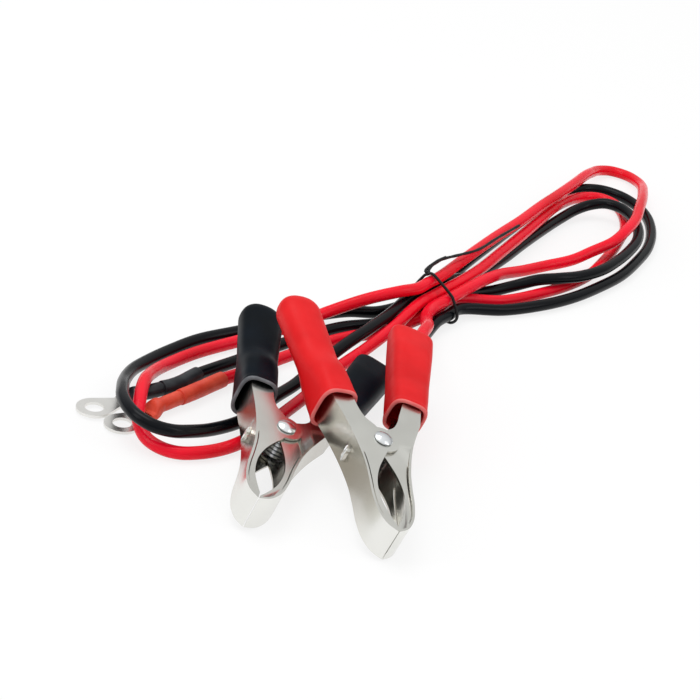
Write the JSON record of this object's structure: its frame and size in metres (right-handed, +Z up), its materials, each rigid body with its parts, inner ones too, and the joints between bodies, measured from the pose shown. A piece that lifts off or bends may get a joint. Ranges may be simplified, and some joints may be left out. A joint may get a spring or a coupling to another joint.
{
  "type": "battery charger lead set",
  "caption": "Red and black battery leads, each with a sprung clip in rubber boots at one end and a ring terminal at the other, coiled in a tied hank.",
  "frame": {"origin": "Middle of the two clips' bounding box in X and Y, at the height of their lowest point, which is the floor they lie on.", "axes": "+Z up from the floor, +Y from the clips' jaws towards the hank, +X to the right when the jaws are nearest."},
  "size_m": [0.218, 0.3512, 0.0382],
  "materials": {
    "plated_steel": "nickel-plated pressed sheet, softly polished",
    "bright_steel": "nickel-plated pressed sheet, polished",
    "rivet_steel": "bright plated domed head",
    "spring_steel": "bright drawn wire",
    "red_boot": "soft PVC, satin, paler at the rim",
    "black_boot": "soft PVC, satin, greyer at the rim",
    "red_lead": "smooth glossy PVC",
    "black_lead": "smooth glossy PVC",
    "red_sleeve": "satin heat-shrink sleeve",
    "black_sleeve": "satin heat-shrink sleeve",
    "tinned_copper": "bright tin plate over copper",
    "copper": "bare stranded copper",
    "tie_plastic": "thin plastic-coated wire"
  },
  "bodies": {
    "leads": {"red_cable_jaw": "plated_steel", "red_rivet": "rivet_steel", "red_spring": "spring_steel", "red_cable_boot": "red_boot", "red_clip_strand": "copper", "red_lead": "red_lead", "red_ring_terminal": "tinned_copper", "red_ring_strand": "copper", "red_heat_shrink": "red_sleeve", "black_cable_jaw": "plated_steel", "black_rivet": "rivet_steel", "black_spring": "spring_steel", "black_cable_boot": "black_boot", "black_clip_strand": "copper", "black_lead": "black_lead", "black_ring_terminal": "tinned_copper", "black_ring_strand": "copper", "black_heat_shrink": "black_sleeve", "twist_tie": "tie_plastic"},
    "red_free_lever": {"red_free_jaw": "bright_steel", "red_free_boot": "red_boot"},
    "black_free_lever": {"black_free_jaw": "bright_steel", "black_free_boot": "black_boot"}
  },
  "joints": [
    {"name": "red_clip_hinge", "type": "hinge", "parent": "leads", "child": "red_free_lever", "pos_m": [0.01396, -0.0175, 0.01467], "axis": [-0.2785, 0.1577, -0.9474], "range_deg": [0, 20], "stiffness_Nm_per_rad": 0.9, "springref_deg": -28.65, "deforming": ["red_spring"]},
    {"name": "black_clip_hinge", "type": "hinge", "parent": "leads", "child": "black_free_lever", "pos_m": [-0.01614, -0.0101, 0.00992], "axis": [-0.2734, 0.1109, -0.9555], "range_deg": [0, 20], "stiffness_Nm_per_rad": 0.9, "springref_deg": -28.65, "deforming": ["black_spring"]}
  ]
}
